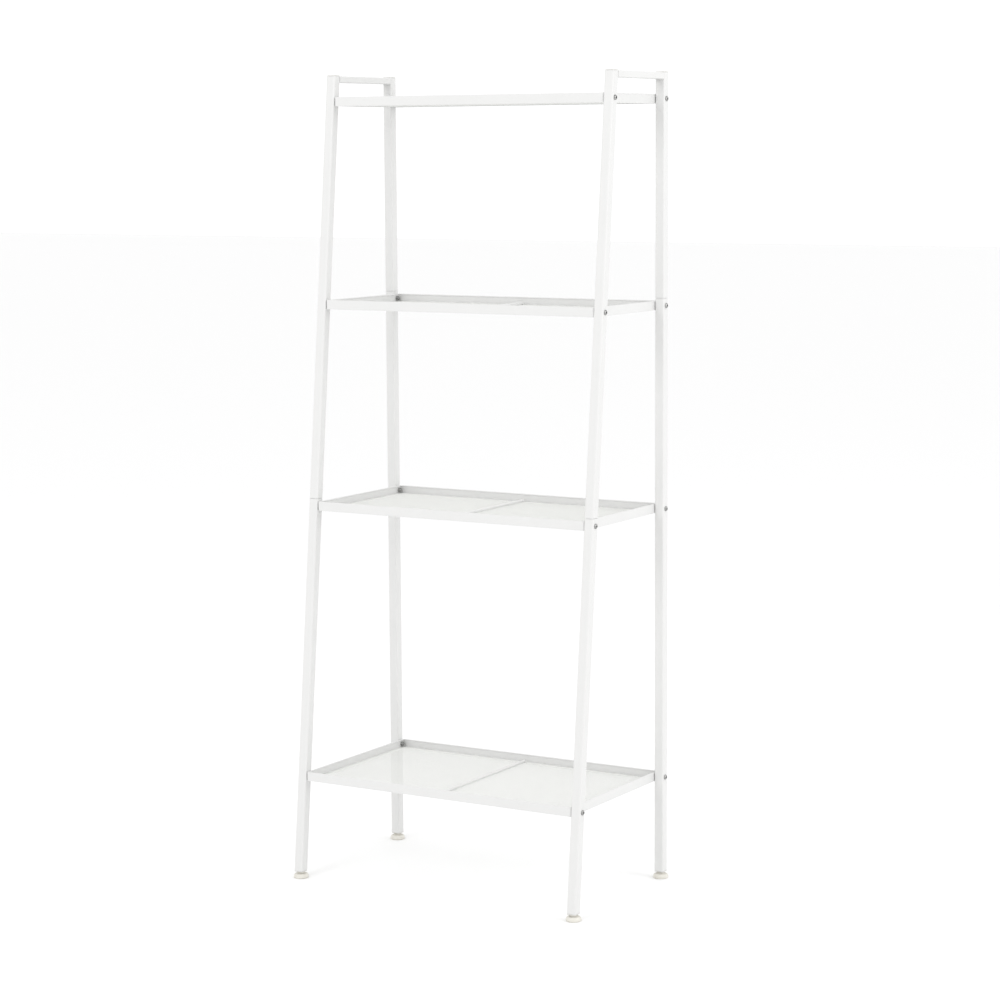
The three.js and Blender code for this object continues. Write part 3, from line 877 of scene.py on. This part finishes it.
for shelf in SHELVES:
    node = f"shelf_{shelf}_rim"
    low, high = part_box(node)
    rings = ring_of(low, high, *rim_section(low.z, high.z), RIM_BEND)
    rim = skin(f"rim_{shelf}", rings, joined=True)
    place_piece(rim, coat, [node])
    print(f"tray {shelf}: {round(rim.dimensions.x / MM)} by {round(rim.dimensions.y / MM)} mm")

# %% [markdown]
# ## The mesh
#
# The tray's floor is welded mesh: a layer of straight wires along the tray, a second layer across it,
# and a flat border strip that their ends are welded to.  A see-through texture would be cheaper, but
# from low down you look through both layers at a slant, and only real wires close up and open as they
# should.  Each wire has six sides, because there are nearly a thousand of them.

# %% Wires and border strip
WIRE = 0.6 * MM
WIRE_PITCH = 3.2 * MM
BORDER_WIDTH = 11 * MM
BORDER_THICKNESS = 1.5 * MM
BORDER_BEND = 2.1 * MM
WIRE_SUNK = 0.6 * MM  # how far a wire's end runs into the strip's weld


def wires(start, end, across, room, level):
    """Straight wires from start to end, one pitch apart across the room between the sides."""
    count = int((room - WIRE) / WIRE_PITCH) + 1
    offset = (np.arange(count) - (count - 1) / 2) * WIRE_PITCH
    lengthwise = np.array([start, end])
    path = np.zeros((count, 2, 3))
    path[..., 1 - across] = lengthwise
    path[..., across] = offset[:, None]
    path[..., 2] = level
    return rod(path, WIRE / 2, (0, 0, 1), around=6)


def mesh_panel(shelf):
    node = f"shelf_{shelf}_mesh"
    low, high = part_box(node)
    centre_y = (low.y + high.y) / 2
    reach = BORDER_WIDTH - WIRE_SUNK
    half_x, half_y = (high.x - low.x) / 2 - reach, (high.y - low.y) / 2 - reach
    lower_layer = wires(-half_x, half_x, 1, 2 * half_y, high.z - 1.5 * WIRE)
    upper_layer = wires(-half_y, half_y, 0, 2 * half_x, high.z - 0.5 * WIRE)
    for name, layer in (("long_wires", lower_layer), ("cross_wires", upper_layer)):
        layer = layer + [0, centre_y, 0]
        piece = skin(f"{name}_{shelf}", layer, crease=70)
        place_piece(piece, wire_coat, [node])
    inset, rise = eased(STRIP_EDGE, STRIP_EDGE, 2)
    outer = np.concatenate([inset, inset[::-1]])
    up = np.concatenate([rise, BORDER_THICKNESS - rise[::-1]])
    depth = np.concatenate([outer, BORDER_WIDTH - outer])
    height = high.z - BORDER_THICKNESS + np.concatenate([up, up[::-1]])
    rings = ring_of(low, high, depth, height, BORDER_BEND)
    border = skin(f"mesh_border_{shelf}", rings, joined=True)
    place_piece(border, border_coat, [node])
    return len(lower_layer) + len(upper_layer)


print("wires in each tray, from the top:", [mesh_panel(shelf) for shelf in SHELVES])

# %% [markdown]
# ## Stitch welds and the crossbar
#
# Short beads hold the mesh to the rim, one every 45 mm, at the foot of the rim's inner face.  A round bar
# lies across the middle of the mesh from front to back and stops it drumming.  It is tacked to the wires
# on both sides.

# %% Stitches round the mesh
STITCH_LENGTH = 13 * MM
STITCH_PITCH = 45 * MM
STITCH_RADIUS = 1.0 * MM
CORNER_CLEAR = 22 * MM  # no stitch this close to a corner, where the nuts are


def stitch_places(room):
    count = int((room - 2 * CORNER_CLEAR - STITCH_LENGTH) / STITCH_PITCH) + 1
    return (np.arange(count) - (count - 1) / 2) * STITCH_PITCH


def stitches(shelf):
    rim_low, rim_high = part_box(f"shelf_{shelf}_rim")
    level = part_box(f"shelf_{shelf}_mesh")[1].z + 0.1 * MM
    centre = (rim_low + rim_high) / 2
    share = np.linspace(0, 1, 13)
    along = (share - 0.5) * STITCH_LENGTH
    groups = []
    for across, room, reach in (
        (1, rim_high.x - rim_low.x, (rim_high.y - rim_low.y) / 2),
        (0, rim_high.y - rim_low.y, (rim_high.x - rim_low.x) / 2),
    ):
        for way in (-1, 1):
            places = stitch_places(room)
            path = np.zeros((len(places), len(share), 3))
            path[..., 1 - across] = places[:, None] + along
            path[..., across] = way * (reach - RIM_WALL - 0.2 * MM)
            groups.append(path)
    path = np.concatenate(groups) + [centre.x, centre.y, level]
    return rod(path, bead_radius(share, STITCH_LENGTH, STITCH_RADIUS), (0, 0, 1))


for shelf in SHELVES:
    beads = stitches(shelf)
    piece = skin(f"stitch_welds_{shelf}", beads, crease=60)
    place_piece(piece, weld_coat, [f"shelf_{shelf}_mesh"])
    print(f"tray {shelf}: {len(beads)} stitches")

# %% Crossbars and their tacks
TACK_PITCH = 48 * MM
TACK_RADIUS = 1.1 * MM
END_ROWS = 6
END_TURN = 0.12  # where the round end starts, so that its first ring isn't a single point


def crossbar(shelf):
    """A straight bar with half-round ends: the radius follows a quarter circle over the last few rings."""
    low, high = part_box(f"shelf_{shelf}_crossbar")
    radius = (high.z - low.z) / 2
    turn = np.linspace(END_TURN, np.pi / 2, END_ROWS)
    from_end = radius * (1 - np.cos(turn - END_TURN))
    y = np.concatenate([low.y + from_end, high.y - from_end[::-1]])
    wide = radius * np.sin(np.concatenate([turn, turn[::-1]]))
    path = np.zeros((len(y), 3)) + list((low + high) / 2)
    path[:, 1] = y
    return rod(path, wide, (0, 0, 1), around=24)


def tacks(shelf):
    low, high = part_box(f"shelf_{shelf}_crossbar")
    room = high.y - low.y
    count = int((room - 20 * MM) / TACK_PITCH) + 1
    places = (np.arange(count) - (count - 1) / 2) * TACK_PITCH + (low.y + high.y) / 2
    share = np.linspace(0, 1, 9)
    path = np.zeros((2 * count, len(share), 3))
    path[..., 0] = np.repeat([-1, 1], count)[:, None] * (high.x - low.x) * 0.42
    path[..., 1] = np.tile(places, 2)[:, None] + (share - 0.5) * 4 * MM
    path[..., 2] = low.z + 0.2 * MM
    taper = np.sqrt(np.clip(1 - (2 * share - 1) ** 2, 0.05, 1))
    return rod(path, TACK_RADIUS * taper, (0, 0, 1))


for shelf in SHELVES:
    node = f"shelf_{shelf}_crossbar"
    bar = skin(f"crossbar_{shelf}", crossbar(shelf))
    place_piece(bar, coat, [node])
    tack = skin(f"crossbar_tacks_{shelf}", tacks(shelf), crease=60)
    place_piece(tack, weld_coat, [node])
print("crossbar", round(bar.dimensions.y / MM), "mm long in the lowest tray")

# %% [markdown]
# ## Studio: floor, light and camera
#
# The rack is white on white, so the light does the drawing.  An even white sky fills every shadow.  One
# large soft lamp on the right lifts the right-hand faces a shade above the front ones, and a second one
# in front, a little to the left, fills the front faces.  The floor is pale and matt.  Colours go to the
# screen as they are, with no film curve, or the whites would turn grey.

# %% Floor and sky
scene = bpy.context.scene
scene.view_settings.view_transform = "Standard"
scene.view_settings.look = "None"

FLOOR_HALF = 30.0


def floor_recipe(place):
    grain = noise(place, 300, 3.0)
    return {
        "Base Color": grain.mixed((0.915, 0.915, 0.915, 1), (0.90, 0.90, 0.90, 1)),
        "Roughness": grain * 0.1 + 0.85,
    }


ground = np.array([[-1, -1, 0], [1, -1, 0], [1, 1, 0], [-1, 1, 0]]) * FLOOR_HALF - [0, 0, 0.05 * MM]
floor_mesh = bpy.data.meshes.new("floor")
floor_mesh.from_pydata(ground.tolist(), [], [(0, 1, 2, 3)])
floor = bpy.data.objects.new("floor", floor_mesh)
scene.collection.objects.link(floor)
floor.data.materials.append(finish("pale_floor", floor_recipe, Specular_IOR_Level=0.2))

world = bpy.data.worlds.new("studio")
scene.world = world
world.use_nodes = True
sky = world.node_tree.nodes["Background"]
sky.inputs["Color"].default_value = (1.0, 1.0, 1.0, 1)
sky.inputs["Strength"].default_value = 1.08

# %% Soft lamps


def lamp(name, at, aim, size, watts, colour=(1, 1, 1)):
    light = bpy.data.lights.new(name, "AREA")
    light.shape = "DISK"
    light.size, light.energy, light.color = size, watts, colour
    holder = bpy.data.objects.new(name, light)
    holder.matrix_world = (
        Matrix.Translation(at) @ (Vector(aim) - Vector(at)).to_track_quat("-Z", "Y").to_matrix().to_4x4()
    )
    scene.collection.objects.link(holder)
    return holder


lamp("key_right", (4.0, 0.2, 2.4), (0, 0, 0.6), 2.4, 42)
lamp("fill_front", (-0.6, -4.4, 3.0), (0, 0, 1.1), 2.0, 44)

# %% [markdown]
# The camera stands about five metres away, to the right of the rack and near the height of its top, with
# a long lens, so the uprights stay almost parallel.  It looks down by a little over seven degrees.

# %% Camera
CAMERA_AT = (2.5764, -4.2221, 1.3490)
YAW, PITCH, ROLL = math.radians(30.925), math.radians(7.388), math.radians(-0.337)
LENS = 98.26

camera_data = bpy.data.cameras.new("camera")
camera_data.lens, camera_data.sensor_width = LENS, 36.0
camera_data.clip_end = 200.0
camera = bpy.data.objects.new("camera", camera_data)
aim = Matrix.Rotation(YAW, 4, "Z") @ Matrix.Rotation(math.pi / 2 - PITCH, 4, "X")
camera.matrix_world = Matrix.Translation(CAMERA_AT) @ aim @ Matrix.Rotation(ROLL, 4, "Z")
scene.collection.objects.link(camera)
scene.camera = camera
print("camera to rack:", round(math.dist(CAMERA_AT, (0, 0, 0.7)), 2), "m")
